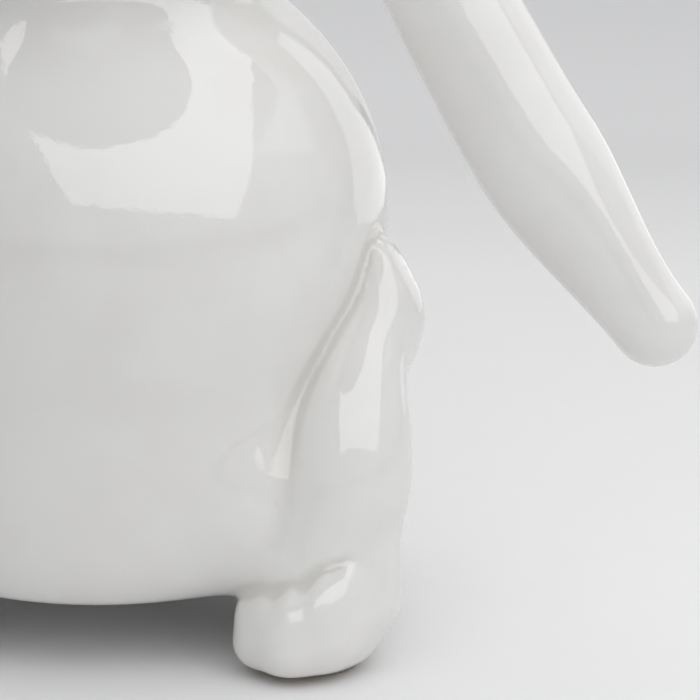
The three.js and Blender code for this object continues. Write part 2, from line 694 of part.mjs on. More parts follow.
function makeEar() {
  const skin = wrapEar(ear, EAR_ROOT_PLACE / 2, 1, EAR_STATIONS, EAR_SIDES);
  const cavityStart = EAR_ROOT_PLACE + EAR_CAVITY_START;
  const hollow = (p) => Math.max(ear(p), -head(p)) + WALL;
  const cavity = wrapEar(hollow, cavityStart, EAR_CAVITY_END, coarser(EAR_STATIONS), coarser(EAR_SIDES));
  const tenon = rod(tenonEnd, tenonTop, EAR_TENON_RADIUS);
  const ventEnd = tenonEnd.clone().addScaledVector(earRootTangent, -WALL);
  const vent = rod(ventEnd, earSpine(cavityStart), VENT_RADIUS, VENT_SIDES);
  return { skin, seats: [headClearance], bosses: [tenon], hollows: [cavity, vent] };
}

// Hind leg: haunch, shank and foot in one casting that saddles the body, hollow in the foot and vented
const FOOT_PAD = point(FOOT.x, FOOT.y, 0);
const FOOT_MIDDLE = point(FOOT.x, FOOT.y + FOOT_MIDDLE_SETBACK, SOLE + FOOT_RISE);

function makeHindLeg() {
  const thigh = wrap(haunch, HAUNCH, HAUNCH_SIDES, HAUNCH_ROWS);
  const spineAt = (place) => SHANK_CURVE.getPoint(place);
  const stations = evenly(0, 1, SHANK_STATIONS);
  const reach = KNEE_HALF_HEIGHT * 2;
  const shin = wrapAlong(shank, SHANK_CURVE, ACROSS_DEPTH, stations, SHANK_SIDES, spineAt, reach);
  const hindPaw = wrap(foot, FOOT_MIDDLE, FOOT_SIDES, FOOT_ROWS);
  const hollow = (p) => Math.max(Math.min(shank(p), foot(p)), JOINT_GAP - torso(p)) + WALL;
  const cavity = wrapCavity(hollow, FOOT_MIDDLE, FOOT_SIDES, FOOT_ROWS);
  const vent = rod(FOOT_MIDDLE.clone().setZ(0), FOOT_MIDDLE, VENT_RADIUS, VENT_SIDES);
  return {
    skin: thigh.add(shin).add(hindPaw),
    seats: [torsoClearance],
    bosses: [legJoint.boss],
    hollows: [cavity, vent],
  };
}

// Foreleg: a solid casting round the chest, seated on the chest and under the chin
function makeForeleg() {
  const reach = SHOULDER_RADIUS * 2;
  const spineAt = (place) => FORELEG_CURVE.getPoint(place);
  const stations = evenly(0, 1, FORELEG_STATIONS);
  const skin = wrapAlong(foreleg, FORELEG_CURVE, ACROSS_HEIGHT, stations, FORELEG_SIDES, spineAt, reach);
  return { skin, seats: [torsoClearance, headClearance], bosses: [forelegJoint.boss], hollows: [] };
}

function makeTail() {
  const skin = wrap(tail, TAIL, TAIL_SIDES, TAIL_ROWS);
  return { skin, seats: [torsoClearance], bosses: [tailJoint.boss], hollows: [] };
}

// Felt pads under the soles and the rump
function makePad(centre) {
  const top = centre.clone().setZ(PAD_THICKNESS);
  return rod(centre.clone().setZ(0), top, PAD_RADIUS, WIDE_ROD_SIDES);
}

const figurine = new THREE.Group();

function addPiece(name, solid, material) {
  const mesh = new THREE.Mesh(geometryFrom(solid), material);
  mesh.name = name;
  figurine.add(mesh);
}

// A casting is its skin, cut where it seats on others, with its bosses added and its hollows taken out
function cast({ skin, seats, bosses, hollows }, turned = (solid) => solid) {
  let solid = turned(skin);
  seats.forEach((seatSolid) => {
    solid = solid.subtract(seatSolid);
  });
  bosses.forEach((boss) => {
    solid = solid.add(turned(boss));
  });
  hollows.forEach((hollow) => {
    solid = solid.subtract(turned(hollow));
  });
  return solid;
}

function addPair(name, casting, material) {
  addPiece(`${name}_left`, cast(casting), material);
  addPiece(`${name}_right`, cast(casting, mirroredSolid), material);
}

addPiece('body_shell', makeBodyShell(), GLAZE);
addPiece('head_shell', makeHeadShell(), GLAZE);
addPair('ear', makeEar(), GLAZE);
addPair('foreleg', makeForeleg(), GLAZE);
addPair('hind_leg', makeHindLeg(), GLAZE);
addPiece('tail', cast(makeTail()), GLAZE);
addPiece('foot_pad_left', makePad(FOOT_PAD), FELT);
addPiece('foot_pad_right', mirroredSolid(makePad(FOOT_PAD)), FELT);
addPiece('rump_pad', makePad(RUMP), FELT);

// The origin is on the floor, in the middle of the figurine's width and depth
const box = new THREE.Box3().setFromObject(figurine);
figurine.position.y = -(box.min.y + box.max.y) / 2;

export default figurine;
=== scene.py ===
"""Hare figurine of glazed stoneware on a pale studio floor.

The castings are drawn from signed distance fields in millimetres: +Z is up, the hare faces -Y and its left
side is +X. The fields meet in soft fillets, as luted castings do, and the joined skin is then parted again at
the joints, so that each casting is a closed piece of its own. The finished objects are in metres.
"""

import math

import bpy
import numpy as np
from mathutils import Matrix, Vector


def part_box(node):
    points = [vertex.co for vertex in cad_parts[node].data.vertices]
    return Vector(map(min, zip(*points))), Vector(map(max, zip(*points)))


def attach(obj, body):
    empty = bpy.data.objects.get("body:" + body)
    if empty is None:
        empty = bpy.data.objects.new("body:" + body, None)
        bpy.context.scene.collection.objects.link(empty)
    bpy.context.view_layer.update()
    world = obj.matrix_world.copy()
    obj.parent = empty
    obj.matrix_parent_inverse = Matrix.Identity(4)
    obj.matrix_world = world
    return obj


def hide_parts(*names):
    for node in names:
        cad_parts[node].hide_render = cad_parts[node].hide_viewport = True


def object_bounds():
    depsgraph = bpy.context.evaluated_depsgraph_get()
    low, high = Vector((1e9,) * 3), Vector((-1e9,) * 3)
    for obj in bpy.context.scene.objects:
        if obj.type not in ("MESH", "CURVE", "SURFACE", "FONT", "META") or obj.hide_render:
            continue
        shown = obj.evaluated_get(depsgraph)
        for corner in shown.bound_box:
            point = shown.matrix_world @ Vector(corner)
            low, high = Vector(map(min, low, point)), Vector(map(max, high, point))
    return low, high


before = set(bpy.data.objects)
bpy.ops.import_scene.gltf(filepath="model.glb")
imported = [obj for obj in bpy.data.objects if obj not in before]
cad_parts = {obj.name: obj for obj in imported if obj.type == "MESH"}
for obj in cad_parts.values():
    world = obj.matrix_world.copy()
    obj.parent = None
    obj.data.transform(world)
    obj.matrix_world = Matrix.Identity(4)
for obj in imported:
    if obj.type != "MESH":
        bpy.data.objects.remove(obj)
cad_low, cad_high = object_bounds()

METRES = 0.001

# How finely the skin is drawn: the grid's cells, its blocks of cells and the blocks worked out at a time
CELL = 1.8
BLOCK = 8
BLOCKS_AT_A_TIME = 200
NEAR = 14.0
COARSE = 6.0
FAR = 1000.0
TINY = 1e-9
SETTLE_ROUNDS = 3
SLOPE_STEP = 0.05
LEAST_SLOPE = 1e-6

# Hollows, where the glaze is drawn darker, and the curvature that counts as a full hollow
CREASE_STEP = 2.5
CREASE_FULL = 0.16

# How a casting is closed at its joints: how far inside its skin, and how deep in the middle
CUT_MARGIN = 0.06
CAP_INSET = 4.0
CAP_DEPTH = 1.0

# Searches for the nearest place on a curve and for the outermost place on a ray
CURVE_SAMPLES = 25
CURVE_ROUNDS = 5
LEAST_CURVE_SLOPE = 1e3
RAY_REACH = 120.0
RAY_ROUNDS = 200
RAY_STRIDE = 0.8
RAY_CLOSE = 1e-3

# The soles stand on the felt pads
SOLE = 1.8
SOLE_EDGE = 4.0

# Body
BELLY_HALF = (87.0, 83.4, 83.0)
BELLY = (0.0, 0.0, 127.0)
SEAT_HALF = (76.0, 80.0, 95.0)
SEAT = (0.0, 8.0, 52.0)
UNDERSIDE = SOLE + 17.0
UNDERSIDE_EDGE = 20.0
BELLY_BLEND = 46.0
FLANK_HALF = (34.0, 50.0, 39.0)
FLANK = (BELLY_HALF[0] - 43.0, -14.0, SOLE + 9.5 + FLANK_HALF[2])
FLANK_BLEND = 20.0
RUMP_SETBACK = 40.0
RUMP_HALF = (58.0, 48.0, 50.0)
RUMP = (0.0, RUMP_SETBACK, SOLE + RUMP_HALF[2] - 5.0)
CHEST_HALF = (43.0, 41.0, 44.0)
CHEST = (0.0, -4.0, BELLY[2] + BELLY_HALF[2] + 2.0)
CHEST_BLEND = 22.0
NECK_OVERLAP = 20.0

# Head
HEAD_HALF = (45.0, 51.0, 42.0)
HEAD = (0.0, -2.0, CHEST[2] + CHEST_HALF[2] + HEAD_HALF[2] - NECK_OVERLAP)
MUZZLE_HALF = (26.0, 27.0, 22.0)
MUZZLE = (0.0, HEAD[1] - 42.0, HEAD[2] - 13.0)
MUZZLE_BLEND = 24.0
CHEEK_HALF = (22.0, 28.0, 23.0)
CHEEK = (HEAD_HALF[0] - 20.0, HEAD[1] - 22.0, HEAD[2] - 16.0)
CHEEK_BLEND = 18.0

# Face: plain eyes set in shallow sockets, a small nose, a split lip
EYE_DIRECTION = (0.80, -0.53, 0.28)
EYE_RADIUS = 8.0
EYE_SET_IN = 4.6
SOCKET_RADIUS = 10.0
SOCKET_DEPTH = 3.2
SOCKET_BLEND = 3.0
LID_RADIUS = 3.4
LID_RISE = 7.0
LID_REACH = 7.0
LID_DROOP = 0.45
LID_STATIONS = (-1.0, -0.4, 0.4, 1.0)
LID_BLEND = 4.0
LIP_HALF = (12.0, 10.0, 8.5)
LIP_APART = 9.0
LIP_DROP = 4.0
LIP_BLEND = 9.0
NOSE_HALF = (6.5, 4.5, 4.2)
NOSE_RISE = 8.0
NOSE_BLEND = 3.0
GROOVE_RADIUS = 1.4
GROOVE_BLEND = 1.6
PHILTRUM_DROPS = (4.0, 0.0, -4.0)
MOUTH_PATH = ((0.0, -4.0), (5.0, -8.5), (10.0, -9.5), (14.5, -7.0))
NOSTRIL_PATH = ((2.4, 7.2), (4.6, 8.6))

# Ears
EAR_ROOT_RADIUS = 13.0
EAR_SWELL = 8.0
EAR_SWELL_START = 1.1
EAR_SWELL_END = 0.18
EAR_FLAT = 0.85
EAR_SCOOP_START = 0.16
EAR_SCOOP_FADE = 0.22
EAR_SCOOP_DEPTH = 0.84
EAR_SCOOP_WIDTH = 0.62
EAR_SCOOP_CLEAR = 2.0
EAR_SCOOP_BLEND = 5.0
EAR_SCOOP_SIDE = (-0.45, 0.89)
EAR_CURVE = (
    (14.0, HEAD[1] + 6.0, HEAD[2] + HEAD_HALF[2] / 2),
    (BELLY_HALF[0] - 23.0, HEAD[1] + 10.0, HEAD[2] + HEAD_HALF[2]),
    (BELLY_HALF[0] + 2.5, HEAD[1] - 4.0, HEAD[2] - 83.0),
    (BELLY_HALF[0] + 81.8, HEAD[1] - 8.0, HEAD[2] - 180.0),
)

# Hind legs, with the knee's upper outer side cut to a slope
HAUNCH_HALF = (20.0, 48.0, 44.0)
HAUNCH = (BELLY_HALF[0] - 17.0, 3.0, 60.0)
SHANK_BLEND = 12.0
KNEE_HALF = (12.0, 15.0, 23.5)
KNEE = (BELLY_HALF[0] + 0.5, -17.0, 101.0)
KNEE_BLEND = 10.0
KNEE_SLOPE = (KNEE[0] + 6.0, KNEE[1], KNEE[2] + 16.5)
KNEE_SLOPE_OUT = np.array((0.906, 0.0, 0.4235))
KNEE_SLOPE_EDGE = 6.0
SHANK_RADIUS = 11.5
SHANK_TAPER_END = 0.65
ANKLE_RADIUS = 20.0
FOOT = (BELLY_HALF[0] - 15.0, -48.0, SOLE)
FOOT_TURN = math.radians(-8.0)
SHANK_CURVE = (
    (BELLY_HALF[0], -20.0, KNEE[2] + 1.0),
    (BELLY_HALF[0] - 9.3, -43.8, KNEE[2] - 14.3),
    (BELLY_HALF[0] - 3.5, -41.3, KNEE[2] - 52.0),
    (BELLY_HALF[0] - 17.5, FOOT[1] + 5.0, SOLE + 28.0),
)
FOOT_HALF_WIDTH = 18.5
FOOT_RISE = 15.0
HEEL = (-7.0, 62.0, 14.0)
HEEL_RADIUS = 14.0
BALL = (0.0, -2.0, FOOT_RISE)
BALL_RADIUS = 17.0
INSTEP = (7.5, 8.0, 25.0)
INSTEP_RADIUS = 14.0
TOE_COUNT = 4
TOE_PITCH = 9.8
TOE_RADIUS = 8.5
TOE_FORWARD = 19.4
TOE_ARCH = 0.055
TOE_LEAD = 4.0
TOE_LIFT = 0.03
TOE_SLOPE = 3.0
KNUCKLE_HEIGHT = 26.0
KNUCKLE_TILT = 0.70
TOE_BLEND = 12.0
TOE_GROOVE_BLEND = 12.0
TOE_DENT_DEPTH = 0.7
TOE_DENT_START = 6.0
TOE_DENT_LOW = 13.0
TOE_DENT_FADE = 14.0
FOOT_TOP = 36.0
FOOT_TOP_TILT = 0.41
FOOT_TOP_RISE = 0.45
FOOT_TOP_EDGE = 7.0

# Forelegs
SHOULDER_RADIUS = 13.5
WRIST_RADIUS = 10.5
PAW_HALF = (10.5, 12.0, 13.0)
PAW = (PAW_HALF[0] + 1.5, CHEST[1] - CHEST_HALF[1] - PAW_HALF[1] / 2, CHEST[2] + 17.0)
PAW_BLEND = 7.0
PAW_GROOVES = (-3.6, 3.6)
PAW_GROOVE_DROPS = (2.0, -3.0, -8.0)
FORELEG_CURVE = (
    (CHEST_HALF[0] - 7.0, CHEST[1] + 6.0, CHEST[2] + 16.0),
    (CHEST_HALF[0] + 2.0, CHEST[1] - CHEST_HALF[1] / 2, CHEST[2] + 2.0),
    (CHEST_HALF[0] - 10.0, CHEST[1] - CHEST_HALF[1], CHEST[2] + 4.0),
    (PAW[0], PAW[1] + 6.0, PAW[2]),
)

# Tail
TAIL_HALF = (21.0, 19.0, 22.0)
TAIL_HEIGHT = 52.0
TAIL_INSET = 3.0
TUFT_COUNT = 11
TUFT_DEPTH = 0.8

# Fillets where the castings are luted together; a hind leg's is wide below and narrow at the top of the knee
LEG_FILLET = 16.0
KNEE_FILLET = 5.0
LEG_FILLET_TOP = 25.0
KNEE_FILLET_START = 95.0
FOOT_FILLET = 4.5
FORELEG_FILLET = 7.0
HEAD_FILLET = 9.0
EAR_FILLET = 7.0
TAIL_FILLET = 6.0

ACROSS_DEPTH = (0.0, 1.0, 0.0)
ACROSS_HEIGHT = (0.0, 0.0, 1.0)
FORWARD = np.array((0.0, -1.0, 0.0))
BACKWARDS = -FORWARD
UP = np.array((0.0, 0.0, 1.0))


# In the fields, p holds points, one a row, d holds their distances to a form, negative inside it, and u tells
# how far along a curve the nearest place is, from 0 to 1
def lengths(v):
    return np.sqrt(np.square(v).sum(-1))


def smooth_union(a, b, blend):
    share = np.maximum(blend - np.abs(a - b), 0.0) / blend
    return np.minimum(a, b) - share ** 3 * (blend / 6.0)


def smooth_cut(a, b, blend):
    return -smooth_union(-a, -b, blend)


def ease(t):
    s = np.clip(t, 0.0, 1.0)
    return s * s * (3.0 - 2.0 * s)


def ellipsoid(p, centre, half):
    unit = (p - np.array(centre)) / np.array(half)
    steep = lengths(unit / np.array(half))
    far = lengths(unit)
    return far * (far - 1.0) / np.maximum(steep, TINY)


def round_cone(p, start, end, start_radius, end_radius):
    start = np.array(start)
    end = np.array(end)
    length = lengths(end - start)
    axis = (end - start) / length
    lean = (start_radius - end_radius) / length
    upright = math.sqrt(1.0 - lean * lean)
    offset = p - start
    along = offset @ axis
    square = np.square(offset).sum(-1)
    away = np.sqrt(np.maximum(square - along * along, 0.0))
    slant = along * upright - away * lean
    d = away * upright + along * lean - start_radius
    d = np.where(slant < 0.0, np.sqrt(square) - start_radius, d)
    return np.where(slant > length * upright, lengths(p - end) - end_radius, d)


def bezier(curve, u):
    a, b, c, d = (np.array(q) for q in curve)
    u = u[:, None]
    v = 1.0 - u
    place = v ** 3 * a + 3 * v * v * u * b + 3 * v * u * u * c + u ** 3 * d
    slope = 3 * v * v * (b - a) + 6 * v * u * (c - b) + 3 * u * u * (d - c)
    bend = 6 * v * (c - 2 * b + a) + 6 * u * (d - 2 * c + b)
    return place, slope, bend


def nearest_on(curve, p, across):
    """Parameter of the nearest place on a curve, and offsets sideways, in depth and along it."""
    starts = np.linspace(0.0, 1.0, CURVE_SAMPLES)
    least = np.full(len(p), np.inf)
    u = np.zeros(len(p))
    for start, sample in zip(starts, bezier(curve, starts)[0]):
        square = np.square(p - sample).sum(-1)
        closer = square < least
        least[closer] = square[closer]
        u[closer] = start
    for _ in range(CURVE_ROUNDS):
        place, slope, bend = bezier(curve, u)
        gap = place - p
        first = (gap * slope).sum(-1)
        second = np.square(slope).sum(-1) + (gap * bend).sum(-1)
        u = np.clip(u - first / np.maximum(second, LEAST_CURVE_SLOPE), 0.0, 1.0)
    place, slope, _ = bezier(curve, u)
    tangent = slope / lengths(slope)[:, None]
    side = np.cross(tangent, np.array(across))
    side /= lengths(side)[:, None]
    depth = np.cross(side, tangent)
    gap = p - place
    return u, (gap * side).sum(-1), (gap * depth).sum(-1), (gap * tangent).sum(-1)


def surface_from(field, start, direction):
    """The outermost point of a form on a ray from a point inside it."""
    start = np.array(start)
    distance = RAY_REACH
    for _ in range(RAY_ROUNDS):
        gap = field((start + direction * distance)[None])[0]
        if gap < RAY_CLOSE:
            break
        distance -= gap * RAY_STRIDE
    return start + direction * distance


def grooved(p, d, path):
    """A form with a rounded groove along a path on its surface."""
    for start, end in zip(path, path[1:]):
        groove = round_cone(p, start, end, GROOVE_RADIUS, GROOVE_RADIUS)
        d = smooth_cut(d, -groove, GROOVE_BLEND)
    return d


def torso(p):
    d = smooth_union(ellipsoid(p, BELLY, BELLY_HALF), ellipsoid(p, SEAT, SEAT_HALF), BELLY_BLEND)
    d = smooth_union(d, ellipsoid(p, FLANK, FLANK_HALF), FLANK_BLEND)
    d = smooth_cut(d, UNDERSIDE - p[:, 2], UNDERSIDE_EDGE)
    d = smooth_union(d, ellipsoid(p, RUMP, RUMP_HALF), FLANK_BLEND)
    d = smooth_union(d, ellipsoid(p, CHEST, CHEST_HALF), CHEST_BLEND)
    return smooth_cut(d, SOLE - p[:, 2], SOLE_EDGE)


def skull(p):
    d = smooth_union(ellipsoid(p, HEAD, HEAD_HALF), ellipsoid(p, MUZZLE, MUZZLE_HALF), MUZZLE_BLEND)
    d = smooth_union(d, ellipsoid(p, CHEEK, CHEEK_HALF), CHEEK_BLEND)
    lip = (LIP_APART, MUZZLE_FRONT[1] + LIP_HALF[1], MUZZLE[2] - LIP_DROP)
    return smooth_union(d, ellipsoid(p, lip, LIP_HALF), LIP_BLEND)


def bare_muzzle(p):
    return ellipsoid(p, MUZZLE, MUZZLE_HALF)


def face_path(places):
    """Points on the front of the face, from their places across and above the muzzle's middle."""
    return [surface_from(skull, (x, MUZZLE[1], MUZZLE[2] + z), FORWARD) for x, z in places]


MUZZLE_FRONT = surface_from(bare_muzzle, MUZZLE, FORWARD)
EYE_OUT = np.array(EYE_DIRECTION) / lengths(np.array(EYE_DIRECTION))
EYE_PLACE = surface_from(skull, HEAD, EYE_OUT)
EYE_UP = UP - EYE_OUT * EYE_OUT[2]
EYE_UP /= lengths(EYE_UP)
EYE_ALONG = np.cross(EYE_UP, EYE_OUT)
EYE = EYE_PLACE - EYE_OUT * EYE_SET_IN
SOCKET = EYE_PLACE + EYE_OUT * (SOCKET_RADIUS - SOCKET_DEPTH)
NOSE = surface_from(skull, (0.0, MUZZLE[1], MUZZLE[2] + NOSE_RISE), FORWARD)
PHILTRUM = face_path([(0.0, drop) for drop in PHILTRUM_DROPS])
MOUTH = face_path(MOUTH_PATH)
LID_PATH = [
    EYE_PLACE + EYE_ALONG * (LID_REACH * share) + EYE_UP * (LID_RISE * (1.0 - LID_DROOP * share * share))
    for share in LID_STATIONS
]


def head(p):
    d = smooth_cut(skull(p), SOCKET_RADIUS - lengths(p - SOCKET), SOCKET_BLEND)
    for start, end in zip(LID_PATH, LID_PATH[1:]):
        d = smooth_union(d, round_cone(p, start, end, LID_RADIUS, LID_RADIUS), LID_BLEND)
    d = smooth_union(d, lengths(p - EYE) - EYE_RADIUS, GROOVE_BLEND)
    d = smooth_union(d, ellipsoid(p, NOSE, NOSE_HALF), NOSE_BLEND)
    for path in (PHILTRUM, MOUTH, NOSTRIL):
        d = grooved(p, d, path)
    return d


def nose_front(p):
    return smooth_union(skull(p), ellipsoid(p, NOSE, NOSE_HALF), NOSE_BLEND)


NOSTRIL = [surface_from(nose_front, (x, MUZZLE[1], MUZZLE[2] + z), FORWARD) for x, z in NOSTRIL_PATH]


def ear(p):
    u, side, depth, along = nearest_on(EAR_CURVE, p, ACROSS_DEPTH)
    radius = EAR_ROOT_RADIUS + EAR_SWELL * ease(u / EAR_SWELL_START) * ease((1.0 - u) / EAR_SWELL_END)
    d = np.sqrt(side ** 2 + (depth / EAR_FLAT) ** 2 + along ** 2) - radius
    inward = side * EAR_SCOOP_SIDE[0] + depth * EAR_SCOOP_SIDE[1]
    sideways = side * EAR_SCOOP_SIDE[1] - depth * EAR_SCOOP_SIDE[0]
    scoop = np.sqrt((sideways / EAR_SCOOP_WIDTH) ** 2 + (inward - radius) ** 2) - radius * EAR_SCOOP_DEPTH
    fade = ease((u - EAR_SCOOP_START) / EAR_SCOOP_FADE) * ease((1.0 - u) / EAR_SCOOP_FADE)
    return smooth_cut(d, -scoop - (1.0 - fade) * radius * EAR_SCOOP_CLEAR, EAR_SCOOP_BLEND)


def leg(p):
    u, side, depth, along = nearest_on(SHANK_CURVE, p, ACROSS_DEPTH)
    radius = SHANK_RADIUS + (ANKLE_RADIUS - SHANK_RADIUS) * ease(u / SHANK_TAPER_END)
    shank = np.sqrt(side ** 2 + depth ** 2 + along ** 2) - radius
    knee = ellipsoid(p, KNEE, KNEE_HALF)
    knee = smooth_cut(knee, ((p - np.array(KNEE_SLOPE)) * KNEE_SLOPE_OUT).sum(-1), KNEE_SLOPE_EDGE)
    shank = smooth_union(knee, shank, KNEE_BLEND)
    return smooth_union(ellipsoid(p, HAUNCH, HAUNCH_HALF), shank, SHANK_BLEND)


def leg_fillet(p):
    """The width of the fillet between a hind leg and the body, which narrows upwards."""
    share = ease((p[:, 2] - LEG_FILLET_TOP) / (KNEE_FILLET_START - LEG_FILLET_TOP))
    return LEG_FILLET + (KNEE_FILLET - LEG_FILLET) * share


def plain_foot(q):
    """A foot without dents, in the foot's own frame."""
    d = round_cone(q, (0.0, 0.0, FOOT_RISE), HEEL, FOOT_HALF_WIDTH, HEEL_RADIUS)
    d = smooth_union(d, round_cone(q, BALL, INSTEP, BALL_RADIUS, INSTEP_RADIUS), TOE_BLEND)
    toes = np.full(len(q), FAR)
    for index in range(TOE_COUNT):
        x = (index - (TOE_COUNT - 1) / 2) * TOE_PITCH
        spread = (x + TOE_LEAD) ** 2
        front = TOE_ARCH * spread - TOE_FORWARD
        knuckle = (x, front + TOE_SLOPE, KNUCKLE_HEIGHT + KNUCKLE_TILT * x)
        tip = (x, front, TOE_RADIUS + TOE_LIFT * max(x + TOE_LEAD, 0.0) ** 2)
        toes = smooth_union(toes, round_cone(q, knuckle, tip, TOE_RADIUS, TOE_RADIUS), TOE_GROOVE_BLEND)
    d = smooth_union(d, toes, TOE_BLEND)
    above_top = q[:, 2] - FOOT_TOP - FOOT_TOP_TILT * q[:, 0] - FOOT_TOP_RISE * q[:, 1]
    steepness = math.hypot(1.0, FOOT_TOP_TILT, FOOT_TOP_RISE)
    d = smooth_cut(d, above_top / steepness, FOOT_TOP_EDGE)
    return smooth_cut(d, -q[:, 2], SOLE_EDGE)


def foot(p):
    """A foot turned outwards, with shallow dents between the toes."""
    x, y, z = (p - np.array(FOOT)).T
    cosine = math.cos(FOOT_TURN)
    sine = math.sin(FOOT_TURN)
    q = np.stack([cosine * x + sine * y, cosine * y - sine * x, z], -1)
    dents = (1.0 + np.cos(2 * math.pi * q[:, 0] / TOE_PITCH)) / 2
    front = ease((-q[:, 1] - TOE_DENT_START) / TOE_DENT_FADE)
    upper = ease((q[:, 2] - TOE_DENT_LOW) / TOE_DENT_FADE)
    return plain_foot(q) + TOE_DENT_DEPTH * dents * front * upper


def bare_foreleg(p):
    u, side, depth, along = nearest_on(FORELEG_CURVE, p, ACROSS_HEIGHT)
    radius = SHOULDER_RADIUS + (WRIST_RADIUS - SHOULDER_RADIUS) * u
    d = np.sqrt(side ** 2 + depth ** 2 + along ** 2) - radius
    return smooth_union(d, ellipsoid(p, PAW, PAW_HALF), PAW_BLEND)


PAW_PATHS = [
    [surface_from(bare_foreleg, (PAW[0] + x, PAW[1], PAW[2] + z), FORWARD) for z in PAW_GROOVE_DROPS]
    for x in PAW_GROOVES
]


def foreleg(p):
    d = bare_foreleg(p)
    for path in PAW_PATHS:
        d = grooved(p, d, path)
    return d


TAIL = surface_from(torso, (0.0, 0.0, TAIL_HEIGHT), BACKWARDS) + FORWARD * TAIL_INSET


def tail(p):
    offset = p - TAIL
    around = np.arctan2(offset[:, 0], offset[:, 2])
    spread = ease(np.hypot(offset[:, 0], offset[:, 2]) / TAIL_HALF[0])
    return ellipsoid(p, TAIL, TAIL_HALF) + TUFT_DEPTH * spread * (1.0 + np.cos(TUFT_COUNT * around)) / 2


# The forms, with the fillet of each to those before it and the casting that each belongs to
FORMS = [
    ("body_shell", torso, 0.0),
    ("hind_leg", leg, LEG_FILLET),
    ("hind_leg", foot, FOOT_FILLET),
    ("foreleg", foreleg, FORELEG_FILLET),
    ("head_shell", head, HEAD_FILLET),
    ("ear", ear, EAR_FILLET),
    ("tail", tail, TAIL_FILLET),
]
PAIRED = ("hind_leg", "foreleg", "ear")

# The rump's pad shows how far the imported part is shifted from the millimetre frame
pad_low, pad_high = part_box("rump_pad")
SHIFT = (pad_low.y + pad_high.y) / 2 - RUMP_SETBACK * METRES
cad_reach = np.array((cad_high.x, cad_high.y - SHIFT, cad_high.z)) / METRES
cad_start = np.array((0.0, cad_low.y - SHIFT, cad_low.z)) / METRES


def grid(low, counts, step):
    axes = [low[axis] + step * np.arange(counts[axis]) for axis in range(3)]
    return np.stack(np.meshgrid(*axes, indexing="ij"), -1)


def box_of(field):
    """The box that a form fills, found on a coarse grid."""
    counts = np.ceil((cad_reach - cad_start) / COARSE).astype(int) + 2
    points = grid(cad_start - COARSE / 2, counts, COARSE).reshape(-1, 3)
    inside = points[field(points) < COARSE]
    return inside.min(0), inside.max(0)


BOXES = [box_of(field) for _, field, _ in FORMS]


def form_distances(p, margin=NEAR):
    """The distance to each form, one column each; forms that are not near a point are put far away."""
    q = np.column_stack([np.abs(p[:, 0]), p[:, 1:]])
    distances = np.full((len(p), len(FORMS)), FAR)
    for column, (_, field, _) in enumerate(FORMS):
        low, high = BOXES[column]
        near = ((q > low - margin) & (q < high + margin)).all(1)
        if near.any():
            distances[near, column] = field(q[near])
    return distances


def joined(p, margin=NEAR):
    """The distance to the whole hare, with all its forms filleted together."""
    distances = form_distances(p, margin)
    d = distances[:, 0]
    for column, (_, field, fillet) in enumerate(FORMS[1:], 1):
        width = leg_fillet(p) if field is leg else fillet
        d = smooth_union(d, distances[:, column], width)
    return d


def sampled():
    """The joined field on a grid round the whole hare, worked out for one half and mirrored."""
    low = np.array((CELL / 2, cad_start[1] - 2 * CELL, cad_start[2] - 2 * CELL))
    blocks = np.ceil((cad_reach + 3 * CELL - low) / (CELL * BLOCK)).astype(int)
    step = CELL * BLOCK
    centres = grid(low + (BLOCK - 1) / 2 * CELL, blocks, step).reshape(-1, 3)
    middle = joined(centres, NEAR + step)
    values = np.repeat(np.sign(middle) * FAR, BLOCK ** 3).reshape(len(centres), BLOCK, BLOCK, BLOCK)
    close = np.flatnonzero(np.abs(middle) < step)
    offsets = (grid(np.zeros(3), (BLOCK,) * 3, CELL) - (BLOCK - 1) / 2 * CELL).reshape(-1, 3)
    for chunk in np.array_split(close, max(1, len(close) // BLOCKS_AT_A_TIME)):
        points = (centres[chunk][:, None] + offsets[None]).reshape(-1, 3)
        values[chunk] = joined(points).reshape(-1, BLOCK, BLOCK, BLOCK)
    values = values.reshape(*blocks, BLOCK, BLOCK, BLOCK).transpose(0, 3, 1, 4, 2, 5)
    half = values.reshape(blocks * BLOCK)
    whole = np.concatenate([half[::-1], half])
    return whole, np.array((low[0] - len(half) * CELL, low[1], low[2]))


CORNERS = np.array([(i, j, k) for i in (0, 1) for j in (0, 1) for k in (0, 1)])
CORNER_EDGES = [
    (a, b) for a in range(8) for b in range(a + 1, 8) if np.abs(CORNERS[a] - CORNERS[b]).sum() == 1
]


